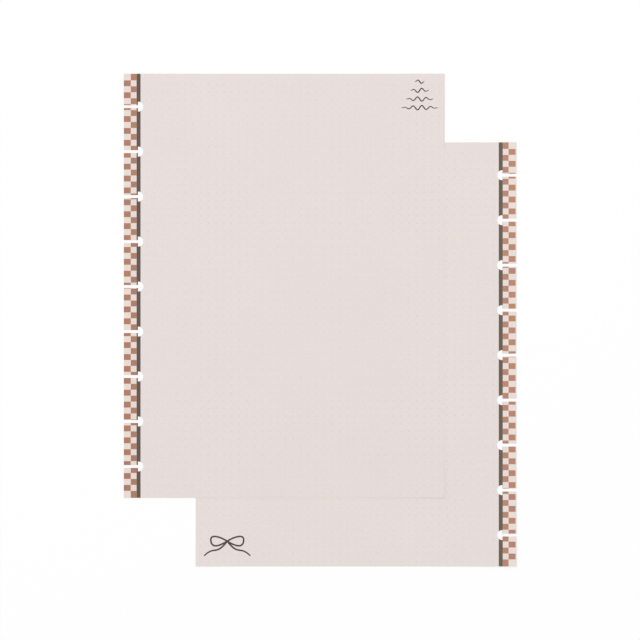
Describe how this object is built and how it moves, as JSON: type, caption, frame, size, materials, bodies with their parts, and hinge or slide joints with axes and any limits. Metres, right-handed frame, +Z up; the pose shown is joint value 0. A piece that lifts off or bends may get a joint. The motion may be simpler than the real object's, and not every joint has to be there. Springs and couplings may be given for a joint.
{
  "type": "planner refill paper",
  "caption": "Loose refill sheets for a disc-bound planner, dot-grid pages with a punched and checkered border, one face up on one turned over.",
  "frame": {"origin": "middle of the pair of sheets seen from above, on the surface that they lie on", "axes": "+Z up from the surface, +Y up the page, +X to the right as the page is read"},
  "size_m": [0.2176, 0.273, 0.0003],
  "materials": {
    "paper": "matte uncoated, blush tint",
    "check_ink": "matte terracotta print on paper",
    "stripe_ink": "matte dark brown print on paper",
    "pen_ink": "matte dark brown print on paper",
    "dot_ink": "matte pale grey-brown print on paper"
  },
  "bodies": {
    "root": {"upper_sheet": "paper", "upper_checks": "check_ink", "upper_stripes": "stripe_ink", "upper_waves": "pen_ink", "upper_bow": "pen_ink", "lower_sheet": "paper", "lower_checks": "check_ink", "lower_stripes": "stripe_ink", "lower_waves": "pen_ink", "lower_bow": "pen_ink"}
  },
  "joints": []
}
